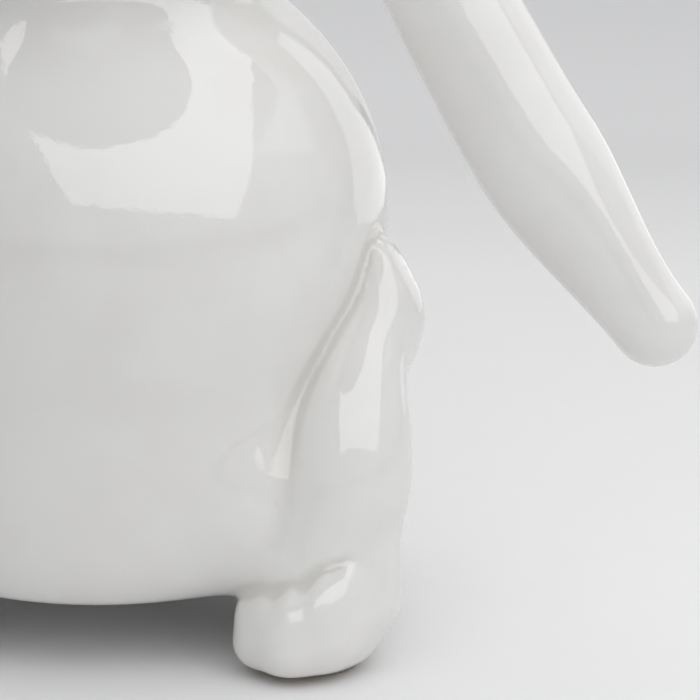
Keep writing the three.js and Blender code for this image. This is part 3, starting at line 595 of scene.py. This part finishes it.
def surface_net(values, low):
    """One vertex in each cell that the surface passes through, joined in quads that face outwards."""
    inside = values < 0
    counts = np.array(values.shape)
    within = np.zeros(counts - 1, np.int8)
    for i, j, k in CORNERS:
        within += inside[i:counts[0] - 1 + i, j:counts[1] - 1 + j, k:counts[2] - 1 + k]
    cells = np.argwhere((within > 0) & (within < 8))
    index = np.full(counts - 1, -1)
    index[tuple(cells.T)] = np.arange(len(cells))
    corner_values = np.stack([values[tuple((cells + corner).T)] for corner in CORNERS], 1)
    total = np.zeros((len(cells), 3))
    crossings = np.zeros(len(cells))
    for a, b in CORNER_EDGES:
        start, end = corner_values[:, a], corner_values[:, b]
        crosses = (start < 0) != (end < 0)
        share = np.where(crosses, start / np.where(crosses, start - end, 1.0), 0.0)
        total += np.where(crosses[:, None], CORNERS[a] + share[:, None] * (CORNERS[b] - CORNERS[a]), 0.0)
        crossings += crosses
    points = (cells + total / crossings[:, None]) * CELL + low
    quads = []
    for axis in range(3):
        first = np.eye(3, dtype=int)[(axis + 1) % 3]
        second = np.eye(3, dtype=int)[(axis + 2) % 3]
        before = np.take(inside, range(counts[axis] - 1), axis)
        after = np.take(inside, range(1, counts[axis]), axis)
        edges = np.argwhere(before != after)
        ring = [edges - first - second, edges - second, edges, edges - first]
        quad = np.stack([index[tuple(place.T)] for place in ring], 1)
        outwards = inside[tuple(edges.T)]
        quad[~outwards] = quad[~outwards][:, ::-1]
        quads.append(quad)
    return points, np.concatenate(quads)


def slopes(p):
    """The direction in which the joined field rises at each point, and how steeply."""
    result = np.zeros_like(p)
    for axis in range(3):
        step = SLOPE_STEP * np.eye(3)[axis]
        result[:, axis] = (joined(p + step) - joined(p - step)) / (2 * SLOPE_STEP)
    return result


def settled(p):
    """Points moved onto the surface."""
    slope = slopes(p)
    return p - (joined(p) / np.maximum(np.square(slope).sum(1), LEAST_SLOPE))[:, None] * slope


def relaxed(p, quads):
    """Points moved halfway to the middle of their neighbours."""
    total = np.zeros_like(p)
    count = np.zeros(len(p))
    for side in range(4):
        a, b = quads[:, side], quads[:, (side + 1) % 4]
        for axis in range(3):
            total[:, axis] += np.bincount(a, p[b, axis], len(p)) + np.bincount(b, p[a, axis], len(p))
        count += np.bincount(a, minlength=len(p)) + np.bincount(b, minlength=len(p))
    return (p + total / count[:, None]) / 2


def crease_depths(p):
    """How sharply the surface is hollowed at each point, from 0 to 1."""
    total = -6.0 * joined(p)
    for axis in range(3):
        step = CREASE_STEP * np.eye(3)[axis]
        total += joined(p + step) + joined(p - step)
    return np.clip(-total / CREASE_STEP ** 2 / CREASE_FULL, 0.0, 1.0)


def part_at_joints(points, triangles):
    """The points with those of the cuts, and the triangles by casting, cut where they cross a joint."""
    distances = form_distances(points)
    castings = sorted({name for name, _, _ in FORMS})
    columns = [[i for i, form in enumerate(FORMS) if form[0] == name] for name in castings]
    distances = np.stack([distances[:, column].min(1) for column in columns], 1)
    labels = distances.argmin(1)
    sides = points[:, 0] > 0
    cuts = {}
    extra = []
    sorted_triangles = {}

    def add(label, side, *corners):
        name = castings[label]
        if name in PAIRED:
            name += "_left" if side else "_right"
        sorted_triangles.setdefault(name, []).append(corners)

    def cut(a, b):
        key = (min(a, b), max(a, b))
        if key not in cuts:
            gap_a = distances[a, labels[a]] - distances[a, labels[b]]
            gap_b = distances[b, labels[a]] - distances[b, labels[b]]
            share = np.clip(gap_a / (gap_a - gap_b), CUT_MARGIN, 1.0 - CUT_MARGIN)
            cuts[key] = len(points) + len(extra)
            extra.append(points[a] + share * (points[b] - points[a]))
        return cuts[key]

    corner_labels = labels[triangles]
    plain = (corner_labels == corner_labels[:, :1]).all(1)
    left = sides[triangles].sum(1) > 1
    for triangle, label, side in zip(triangles[plain].tolist(), corner_labels[plain, 0], left[plain]):
        add(label, side, *triangle)
    for triangle, side in zip(triangles[~plain].tolist(), left[~plain]):
        own = [labels[corner] for corner in triangle]
        if len(set(own)) == 3:
            middle = len(points) + len(extra)
            extra.append(points[triangle].mean(0))
            for turn in range(3):
                a, b, c = triangle[turn], triangle[turn - 2], triangle[turn - 1]
                add(labels[a], side, a, cut(a, b), middle)
                add(labels[a], side, a, middle, cut(a, c))
            continue
        odd = next(turn for turn in range(3) if own.count(own[turn]) == 1)
        a, b, c = triangle[odd], triangle[odd - 2], triangle[odd - 1]
        add(labels[a], side, a, cut(a, b), cut(a, c))
        add(labels[b], side, cut(a, b), b, c)
        add(labels[b], side, cut(a, b), c, cut(a, c))
    return np.concatenate([points, np.array(extra)]), sorted_triangles


def open_loops(triangles):
    """The loops of edges that only one triangle uses."""
    edges = {(t[i], t[(i + 1) % 3]) for t in triangles for i in range(3)}
    following = {b: a for a, b in edges if (b, a) not in edges}
    loops = []
    while following:
        start, corner = following.popitem()
        loop = [start]
        while corner != start:
            loop.append(corner)
            corner = following.pop(corner)
        loops.append(loop)
    return loops


def casting(name, points, normals, creases, triangles, material):
    """A closed piece: its share of the skin, with each joint's opening closed a little way inside."""
    triangles = list(triangles)
    deeper = CAP_DEPTH if name == "body_shell" else -CAP_DEPTH
    for loop in open_loops(triangles):
        outward = normals[loop].mean(0)
        outward /= lengths(outward)
        rim = points[loop] - normals[loop] * CAP_INSET
        middle = rim.mean(0) - outward * deeper
        inner = [len(points) + i for i in range(len(loop))]
        corner = len(points) + len(loop)
        for a, b, c, d in zip(loop, loop[1:] + loop[:1], inner[1:] + inner[:1], inner):
            triangles += [(a, b, c), (a, c, d), (d, c, corner)]
        points = np.concatenate([points, rim, [middle]])
        normals = np.concatenate([normals, normals[loop], [outward]])
        creases = np.concatenate([creases, np.zeros(len(loop) + 1)])
    triangles = np.array(triangles)
    used, corners = np.unique(triangles, return_inverse=True)
    mesh = bpy.data.meshes.new(name)
    places = points[used] * METRES + np.array((0.0, SHIFT, 0.0))
    mesh.from_pydata(places.tolist(), [], corners.reshape(-1, 3).tolist())
    crease = mesh.attributes.new("crease", "FLOAT", "POINT")
    crease.data.foreach_set("value", creases[used].astype(np.float32))
    mesh.polygons.foreach_set("use_smooth", np.ones(len(mesh.polygons), bool))
    mesh.normals_split_custom_set_from_vertices(normals[used].tolist())
    mesh.materials.append(material)
    piece = bpy.data.objects.new("glazed_" + name, mesh)
    bpy.context.collection.objects.link(piece)
    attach(piece, "root")
    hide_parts(name)


def add_node(tree, kind, inputs=(), **settings):
    node = tree.nodes.new(kind)
    for key, value in settings.items():
        setattr(node, key, value)
    for key, value in dict(inputs).items():
        if isinstance(value, bpy.types.NodeSocket):
            tree.links.new(value, node.inputs[key])
        else:
            node.inputs[key].default_value = value
    return node


def new_material(name):
    material = bpy.data.materials.new(name)
    material.use_nodes = True
    material.node_tree.nodes.clear()
    return material, material.node_tree


def show(tree, surface):
    output = tree.nodes.new("ShaderNodeOutputMaterial")
    tree.links.new(surface, output.inputs["Surface"])


def noise(tree, place, scale, detail):
    inputs = {"Vector": place, "Scale": scale, "Detail": detail}
    return add_node(tree, "ShaderNodeTexNoise", inputs).outputs["Fac"]


def between(tree, value, low, high, to_low, to_high):
    inputs = {"Value": value, "From Min": low, "From Max": high, "To Min": to_low, "To Max": to_high}
    return add_node(tree, "ShaderNodeMapRange", inputs, interpolation_type="SMOOTHSTEP").outputs["Result"]


def mixed(tree, share, first, second):
    node = add_node(tree, "ShaderNodeMix", data_type="RGBA")
    for socket, value in (("Factor_Float", share), ("A_Color", first), ("B_Color", second)):
        target = next(item for item in node.inputs if item.identifier == socket)
        if isinstance(value, bpy.types.NodeSocket):
            tree.links.new(value, target)
        else:
            target.default_value = value
    return next(item for item in node.outputs if item.identifier == "Result_Color")


def bumped(tree, height, strength, distance, normal=None):
    inputs = {"Height": height, "Strength": strength, "Distance": distance}
    if normal is not None:
        inputs["Normal"] = normal
    return add_node(tree, "ShaderNodeBump", inputs).outputs["Normal"]


# Glaze: white, glossy, finely dimpled, a little darker in hollows and bare on the wiped soles
GLAZE_COLOUR = (0.80, 0.795, 0.78, 1.0)
GLAZE_MOTTLE = (0.775, 0.768, 0.75, 1.0)
GLAZE_HOLLOW = (0.66, 0.65, 0.62, 1.0)
PINHOLE_COLOUR = (0.42, 0.40, 0.37, 1.0)
CLAY_COLOUR = (0.62, 0.55, 0.46, 1.0)
HOLLOW_SHARE = 0.8
PEEL_SCALE = 620.0
PEEL_HEIGHT = 2.6e-5
WAVE_SCALE = 120.0
WAVE_HEIGHT = 8e-5
DIMPLE_DETAIL = 1.0
MOTTLE_SCALE = 30.0
MOTTLE_DETAIL = 3.0
MOTTLE_RANGE = (0.4, 0.65)
PINHOLE_SCALE = 55.0
PINHOLE_SIZE = 0.018
PINHOLE_SHARE = 0.7
PINHOLE_DEPTH = 2e-4
PINHOLE_BUMP = 0.6
WIPED_HEIGHT = 2.6 * METRES
WIPED_EDGE = 0.5 * METRES
GLAZE_ROUGHNESS = 0.03
GLAZE_IOR = 1.6
CLAY_ROUGHNESS = 0.75


def make_glaze():
    material, tree = new_material("white_glaze")
    place = add_node(tree, "ShaderNodeTexCoord").outputs["Object"]
    height = add_node(tree, "ShaderNodeSeparateXYZ", {"Vector": place}).outputs["Z"]
    bare = between(tree, height, WIPED_HEIGHT, WIPED_HEIGHT + WIPED_EDGE, 1.0, 0.0)
    crease = add_node(tree, "ShaderNodeAttribute", attribute_name="crease").outputs["Fac"]
    mottle = between(tree, noise(tree, place, MOTTLE_SCALE, MOTTLE_DETAIL), *MOTTLE_RANGE, 0.0, 1.0)
    cells = add_node(tree, "ShaderNodeTexVoronoi", {"Vector": place, "Scale": PINHOLE_SCALE})
    pin = between(tree, cells.outputs["Distance"], PINHOLE_SIZE / 2, PINHOLE_SIZE, 1.0, 0.0)
    red = add_node(tree, "ShaderNodeSeparateColor", {"Color": cells.outputs["Color"]}).outputs["Red"]
    chosen = add_node(tree, "ShaderNodeMath", {0: red, 1: PINHOLE_SHARE}, operation="GREATER_THAN")
    hole = add_node(tree, "ShaderNodeMath", {0: pin, 1: chosen.outputs[0]}, operation="MULTIPLY").outputs[0]
    colour = mixed(tree, mottle, GLAZE_COLOUR, GLAZE_MOTTLE)
    # Darker in the hollows, by how sharply the surface is hollowed there
    colour = mixed(tree, between(tree, crease, 0.0, 1.0, 0.0, HOLLOW_SHARE), colour, GLAZE_HOLLOW)
    colour = mixed(tree, hole, colour, PINHOLE_COLOUR)
    colour = mixed(tree, bare, colour, CLAY_COLOUR)
    roughness = between(tree, bare, 0.0, 1.0, GLAZE_ROUGHNESS, CLAY_ROUGHNESS)
    normal = bumped(tree, noise(tree, place, WAVE_SCALE, DIMPLE_DETAIL), 1.0, WAVE_HEIGHT)
    normal = bumped(tree, noise(tree, place, PEEL_SCALE, DIMPLE_DETAIL), 1.0, PEEL_HEIGHT, normal)
    pit = add_node(tree, "ShaderNodeMath", {0: 1.0, 1: hole}, operation="SUBTRACT").outputs[0]
    normal = bumped(tree, pit, PINHOLE_BUMP, PINHOLE_DEPTH, normal)
    shader = add_node(tree, "ShaderNodeBsdfPrincipled", {
        "Base Color": colour,
        "Roughness": roughness,
        "IOR": GLAZE_IOR,
        "Normal": normal,
    })
    show(tree, shader.outputs["BSDF"])
    return material


# Felt: grey pressed fibres
FELT_LIGHT = (0.33, 0.32, 0.30, 1.0)
FELT_DARK = (0.19, 0.185, 0.175, 1.0)
FELT_ROUGHNESS = 0.95
FELT_SHEEN = 0.4
FIBRE_SCALE = 900.0
FIBRE_DETAIL = 4.0
FIBRE_RANGE = (0.35, 0.65)
FIBRE_STRETCH = (1.0, 0.25, 1.0)
FIBRE_HEIGHT = 1.5e-4
FIBRE_BUMP = 0.8


def make_felt():
    material, tree = new_material("pressed_felt")
    place = add_node(tree, "ShaderNodeTexCoord").outputs["Object"]
    stretched = add_node(tree, "ShaderNodeMapping", {"Vector": place, "Scale": FIBRE_STRETCH})
    fibres = noise(tree, stretched.outputs["Vector"], FIBRE_SCALE, FIBRE_DETAIL)
    colour = mixed(tree, between(tree, fibres, *FIBRE_RANGE, 0.0, 1.0), FELT_DARK, FELT_LIGHT)
    shader = add_node(tree, "ShaderNodeBsdfPrincipled", {
        "Base Color": colour,
        "Roughness": FELT_ROUGHNESS,
        "Sheen Weight": FELT_SHEEN,
        "Normal": bumped(tree, fibres, FIBRE_BUMP, FIBRE_HEIGHT),
    })
    show(tree, shader.outputs["BSDF"])
    return material


# A felt pad's section, as shares of its radius and its thickness: flat faces, a soft edge
PAD_SIDES = 72
PAD_SECTION = (
    (0.0, 0.0), (0.55, 0.0), (0.90, 0.0), (0.975, 0.10), (1.0, 0.35), (1.0, 0.65), (0.975, 0.90),
    (0.90, 1.0), (0.55, 1.0), (0.0, 1.0),
)
PAD_RAGGED = 0.006
PAD_WAVES = 19
PAD_SLOW_WAVES = 7
PAD_WAVE_TURN = 2.0


def felt_pad(node, material):
    low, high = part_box(node)
    middle = (low + high) / 2
    radius = (high.x - low.x) / 2
    points = []
    for share, rise in PAD_SECTION:
        for side in range(1 if share == 0.0 else PAD_SIDES):
            angle = 2 * math.pi * side / PAD_SIDES
            wave = math.sin(PAD_WAVES * angle + PAD_WAVE_TURN * rise) * math.cos(PAD_SLOW_WAVES * angle)
            reach = radius * share * (1.0 - PAD_RAGGED * (1.0 + wave))
            height = low.z + (high.z - low.z) * rise
            points.append((middle.x + reach * math.cos(angle), middle.y + reach * math.sin(angle), height))
    rings = len(PAD_SECTION) - 2
    last = len(points) - 1
    faces = []
    for side in range(PAD_SIDES):
        after = (side + 1) % PAD_SIDES
        faces.append((0, 1 + after, 1 + side))
        for ring in range(rings - 1):
            below = 1 + ring * PAD_SIDES
            above = below + PAD_SIDES
            faces.append((below + side, below + after, above + after, above + side))
        top = 1 + (rings - 1) * PAD_SIDES
        faces.append((top + side, top + after, last))
    mesh = bpy.data.meshes.new(node)
    mesh.from_pydata(points, [], faces)
    mesh.polygons.foreach_set("use_smooth", np.ones(len(faces), bool))
    mesh.materials.append(material)
    piece = bpy.data.objects.new("felt_" + node, mesh)
    bpy.context.collection.objects.link(piece)
    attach(piece, "root")
    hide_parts(node)


# The skin is drawn whole, smoothed, parted into castings and closed
values, low = sampled()
points, quads = surface_net(values, low)
for _ in range(SETTLE_ROUNDS):
    points = settled(relaxed(points, quads))
points = settled(points)
triangles = np.concatenate([quads[:, (0, 1, 2)], quads[:, (0, 2, 3)]])
points, castings = part_at_joints(points, triangles)
points = settled(points)
normals = slopes(points)
normals /= lengths(normals)[:, None]
creases = crease_depths(points)
glaze = make_glaze()
for name, share in castings.items():
    casting(name, points, normals, creases, share, glaze)

felt = make_felt()
for node in ("foot_pad_left", "foot_pad_right", "rump_pad"):
    felt_pad(node, felt)

# The studio: a wide pale floor, with painted shade that makes it a little darker in front and painted light
# that makes it lighter far behind, a softbox above the hare's left with a brighter face for the glaze to
# mirror, a dim panel at its side, a wall light that brightens the floor from behind, and bright panels behind
# the hare and a dark card over it that only the glaze mirrors.
# Panels are given by the angles of their corners, to the hare's left of its front and above the floor
FLOOR_RADII = (0.0, 0.3, 0.6, 1.2, 3.0, 8.0, 25.0)
FLOOR_SIDES = 48
FLOOR_COLOUR = (0.84, 0.84, 0.845, 1.0)
FLOOR_GRAIN = (0.825, 0.825, 0.83, 1.0)
FLOOR_FRONT_PAINTED_SHADE = (0.72, 0.72, 0.725, 1.0)
FLOOR_FRONT = -0.215
FLOOR_FRONT_EDGE = 0.03
FLOOR_FAR_PAINTED_LIGHT = (0.93, 0.93, 0.937, 1.0)
FLOOR_FAR_START = 0.25
FLOOR_FAR_END = 0.80
FLOOR_GRAIN_SCALE = 40.0
FLOOR_GRAIN_DETAIL = 3.0
FLOOR_ROUGHNESS = 0.8
FLOOR_SHINE = 0.2
WORLD_HORIZON = (0.58, 0.584, 0.592, 1.0)
WORLD_ZENITH = (0.20, 0.202, 0.207, 1.0)
STUDIO_MIDDLE = Vector((0.035, -0.060 + SHIFT, 0.160))
SOFTBOX = ((61.0, 3.0), (92.0, 38.0), (119.0, 44.0), (160.0, 46.0), (-112.0, 54.0), (-6.0, 14.0))
SOFTBOX_DISTANCE = 1.1
SOFTBOX_LIGHT = 1.28
SOFTBOX_FACE_LIGHT = 2.1
SIDE_PANEL = ((127.0, 33.0), (79.0, 25.0), (131.0, 0.6))
SIDE_PANEL_DISTANCE = 1.6
SIDE_PANEL_LIGHT = 1.0
REAR_PANEL = (
    (129.0, -12.0), (172.0, -12.0), (162.0, -5.5), (153.0, 3.0), (150.0, 27.0), (126.0, 37.0),
    (117.0, 28.0), (118.0, 14.0), (121.0, 3.0), (126.0, -4.0),
)
REAR_PANEL_LIGHT = 1.25
BACK_PANEL = ((177.0, -12.0), (186.0, -12.0), (186.0, 24.0), (155.0, 27.0), (158.0, 3.0), (167.0, -5.5))
BACK_PANEL_LIGHT = 0.8
REAR_DISTANCE = 0.7
WALL_LIGHT = ((110.0, 2.0), (250.0, 2.0), (250.0, 45.0), (180.0, 45.0), (110.0, 45.0))
WALL_LIGHT_DISTANCE = 2.0
WALL_LIGHT_LEVEL = 0.85
CARD_MIDDLE = Vector((0.020, -0.170 + SHIFT, 0.360))
CARD_RADIUS = 0.152
CARD_SIDES = 48
CARD_COLOUR = (0.05, 0.049, 0.047, 1.0)
CARD_LIGHT = 1.0
WHITE = (1.0, 1.0, 1.0, 1.0)


def towards(azimuth, elevation):
    """The direction at an angle to the hare's left of its front and at an angle above the floor."""
    turn = math.radians(azimuth)
    rise = math.radians(elevation)
    return Vector((math.sin(turn) * math.cos(rise), -math.cos(turn) * math.cos(rise), math.sin(rise)))


def stage_mesh(name, points, faces, material):
    mesh = bpy.data.meshes.new(name)
    mesh.from_pydata(points, [], faces)
    mesh.materials.append(material)
    thing = bpy.data.objects.new(name, mesh)
    bpy.context.collection.objects.link(thing)
    return thing


def make_floor():
    material, tree = new_material("pale_floor")
    place = add_node(tree, "ShaderNodeTexCoord").outputs["Object"]
    grain = noise(tree, place, FLOOR_GRAIN_SCALE, FLOOR_GRAIN_DETAIL)
    colour = mixed(tree, grain, FLOOR_COLOUR, FLOOR_GRAIN)
    depth = add_node(tree, "ShaderNodeSeparateXYZ", {"Vector": place}).outputs["Y"]
    # Painted shade: the floor is coloured darker in front of the hare, for the glaze to mirror
    front_shade_mask = between(tree, depth, FLOOR_FRONT - FLOOR_FRONT_EDGE, FLOOR_FRONT, 1.0, 0.0)
    colour = mixed(tree, front_shade_mask, colour, FLOOR_FRONT_PAINTED_SHADE)
    # Painted light: the floor is coloured lighter far behind the hare
    colour = mixed(tree, between(tree, depth, FLOOR_FAR_START, FLOOR_FAR_END, 0.0, 1.0), colour, FLOOR_FAR_PAINTED_LIGHT)
    shader = add_node(tree, "ShaderNodeBsdfPrincipled", {
        "Base Color": colour,
        "Roughness": FLOOR_ROUGHNESS,
        "Specular IOR Level": FLOOR_SHINE,
    })
    show(tree, shader.outputs["BSDF"])
    points = [(0.0, 0.0, 0.0)]
    for radius in FLOOR_RADII[1:]:
        for side in range(FLOOR_SIDES):
            angle = 2 * math.pi * side / FLOOR_SIDES
            points.append((radius * math.cos(angle), radius * math.sin(angle), 0.0))
    faces = []
    for side in range(FLOOR_SIDES):
        after = (side + 1) % FLOOR_SIDES
        faces.append((0, 1 + side, 1 + after))
        for ring in range(len(FLOOR_RADII) - 2):
            inner = 1 + ring * FLOOR_SIDES
            outer = inner + FLOOR_SIDES
            faces.append((inner + side, outer + side, outer + after, inner + after))
    stage_mesh("floor", points, faces, material)


def make_panel(name, corners, light, colour=WHITE, mirrored=True, lights=True):
    """A glowing panel that the camera does not see, mirrored by the glaze, lighting the scene, or both."""
    material, tree = new_material(name)
    shader = add_node(tree, "ShaderNodeEmission", {"Color": colour, "Strength": light})
    show(tree, shader.outputs["Emission"])
    panel = stage_mesh(name, corners, [tuple(range(len(corners)))], material)
    panel.visible_camera = False
    panel.visible_shadow = False
    panel.visible_glossy = mirrored
    panel.visible_diffuse = lights


def panel_around(angles, distance):
    return [STUDIO_MIDDLE + towards(*angle) * distance for angle in angles]


def round_card():
    turns = [2 * math.pi * side / CARD_SIDES for side in range(CARD_SIDES)]
    return [CARD_MIDDLE + Vector((math.cos(turn), math.sin(turn), 0.0)) * CARD_RADIUS for turn in turns]


def make_studio():
    make_floor()
    softbox = panel_around(SOFTBOX, SOFTBOX_DISTANCE)
    make_panel("softbox", softbox, SOFTBOX_LIGHT, mirrored=False)
    make_panel("softbox_face", softbox, SOFTBOX_FACE_LIGHT, lights=False)
    make_panel("side_panel", panel_around(SIDE_PANEL, SIDE_PANEL_DISTANCE), SIDE_PANEL_LIGHT)
    make_panel("wall_light", panel_around(WALL_LIGHT, WALL_LIGHT_DISTANCE), WALL_LIGHT_LEVEL, mirrored=False)
    make_panel("rear_panel", panel_around(REAR_PANEL, REAR_DISTANCE), REAR_PANEL_LIGHT, lights=False)
    make_panel("back_panel", panel_around(BACK_PANEL, REAR_DISTANCE), BACK_PANEL_LIGHT, lights=False)
    make_panel("overhead_card", round_card(), CARD_LIGHT, CARD_COLOUR, lights=False)
    world = bpy.data.worlds.new("studio")
    world.use_nodes = True
    tree = world.node_tree
    direction = add_node(tree, "ShaderNodeTexCoord").outputs["Generated"]
    height = add_node(tree, "ShaderNodeSeparateXYZ", {"Vector": direction}).outputs["Z"]
    colour = mixed(tree, between(tree, height, 0.0, 1.0, 0.0, 1.0), WORLD_HORIZON, WORLD_ZENITH)
    tree.links.new(colour, tree.nodes["Background"].inputs["Color"])
    bpy.context.scene.world = world


# The camera stands a little to the hare's left and above it, and looks at its left hind leg
CAMERA_TARGET = Vector((0.078, -0.020 + SHIFT, 0.090))
CAMERA_AZIMUTH = 6.0
CAMERA_ELEVATION = 15.0
CAMERA_DISTANCE = 1.5
VIEW_WIDTH = 0.210
SENSOR_WIDTH = 36.0


def make_camera():
    data = bpy.data.cameras.new("camera")
    data.sensor_width = SENSOR_WIDTH
    data.lens = SENSOR_WIDTH * CAMERA_DISTANCE / VIEW_WIDTH
    camera = bpy.data.objects.new("camera", data)
    bpy.context.collection.objects.link(camera)
    outwards = towards(CAMERA_AZIMUTH, CAMERA_ELEVATION)
    camera.location = CAMERA_TARGET + outwards * CAMERA_DISTANCE
    camera.rotation_euler = outwards.to_track_quat("Z", "Y").to_euler()
    bpy.context.scene.camera = camera


make_studio()
make_camera()
bpy.context.scene.view_settings.view_transform = "Standard"
